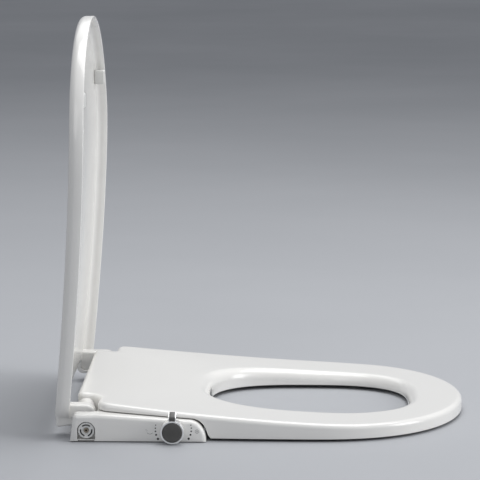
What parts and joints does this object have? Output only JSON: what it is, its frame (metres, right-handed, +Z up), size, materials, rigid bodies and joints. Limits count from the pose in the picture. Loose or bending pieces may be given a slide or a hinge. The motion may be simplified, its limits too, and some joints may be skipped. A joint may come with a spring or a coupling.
{
  "type": "bidet toilet seat",
  "caption": "Slim toilet seat and lid hinged over a flat water unit with a side control arm, a turning flow knob, a hose inlet and sliding spray nozzles.",
  "frame": {"origin": "underside of the water unit's tray, midway between the mounting bolt slots, on the surface the unit stands on", "axes": "+Z up, -Y towards the seat's front tip, +X to the left of someone seated; the control arm is on the -X side"},
  "size_m": [0.3976, 0.4792, 0.474],
  "materials": {
    "gloss_white": "glossy moulded plastic, warm white",
    "satin_white": "satin moulded plastic",
    "rubber_white": "soft white rubber",
    "knob_grey": "satin dark warm grey",
    "knob_silver": "bright plated ring",
    "brass": "turned brass",
    "steel": "bright steel",
    "dark_plastic": "black moulded plastic",
    "hose_white": "translucent white hose"
  },
  "bodies": {
    "base": {"base_tray": "satin_white", "base_cover": "satin_white", "control_arm_cover": "gloss_white", "left_cover": "gloss_white", "hinge_damper_right": "dark_plastic", "hinge_damper_left": "dark_plastic", "valve_body": "dark_plastic", "inlet_fitting": "satin_white", "inlet_core": "brass", "hose_feed": "hose_white", "hose_rear": "hose_white", "hose_front": "hose_white", "nozzle_guide_rear": "dark_plastic", "nozzle_guide_front": "dark_plastic", "return_spring_rear": "steel", "return_spring_front": "steel", "nozzle_shield": "satin_white", "mounting_plate": "steel", "cover_screw_front_right": "steel", "cover_screw_front_left": "steel", "cover_screw_rear_right": "steel", "cover_screw_rear_left": "steel", "foot_front_right": "dark_plastic", "foot_front_left": "dark_plastic", "foot_rear_right": "dark_plastic", "foot_rear_left": "dark_plastic"},
    "seat": {"seat_ring": "gloss_white", "seat_hinge_barrel_right": "gloss_white", "seat_hinge_barrel_left": "gloss_white", "seat_pad_front_right": "rubber_white", "seat_pad_front_left": "rubber_white", "seat_pad_rear_right": "rubber_white", "seat_pad_rear_left": "rubber_white", "hinge_shaft_left": "steel"},
    "lid": {"lid_shell": "gloss_white", "lid_pad_right": "rubber_white", "lid_pad_left": "rubber_white", "hinge_shaft_right": "steel"},
    "knob": {"knob_ring": "knob_silver", "knob_disc": "knob_grey", "knob_lever": "knob_grey", "knob_spindle": "satin_white"},
    "nozzle_rear_slider": {"nozzle_rear": "satin_white"},
    "nozzle_front_slider": {"nozzle_front": "satin_white"},
    "button": {"release_button": "satin_white"}
  },
  "joints": [
    {"name": "lid_hinge", "type": "hinge", "parent": "base", "child": "lid", "pos_m": [0, 0.0045, 0.0275], "axis": [1, 0, 0], "range_deg": [0, 90.8]},
    {"name": "seat_hinge", "type": "hinge", "parent": "base", "child": "seat", "pos_m": [0, 0.0045, 0.0275], "axis": [1, 0, 0], "range_deg": [-90, 0]},
    {"name": "knob_turn", "type": "hinge", "parent": "base", "child": "knob", "pos_m": [-0.1936, -0.099, 0.0138], "axis": [1, 0, 0], "range_deg": [-80, 80]},
    {"name": "rear_nozzle_slide", "type": "slide", "parent": "base", "child": "nozzle_rear_slider", "axis": [0, -0.9962, -0.0872], "range_m": [0, 0.048], "stiffness_N_per_m": 30, "springref_m": -0.01, "deforming": ["return_spring_rear"]},
    {"name": "front_nozzle_slide", "type": "slide", "parent": "base", "child": "nozzle_front_slider", "axis": [0, -0.9962, -0.0872], "range_m": [0, 0.048], "stiffness_N_per_m": 30, "springref_m": -0.01, "deforming": ["return_spring_front"]},
    {"name": "release_press", "type": "slide", "parent": "base", "child": "button", "axis": [0, -1, 0], "range_m": [0, 0.003], "stiffness_N_per_m": 300, "springref_m": -0.001}
  ]
}
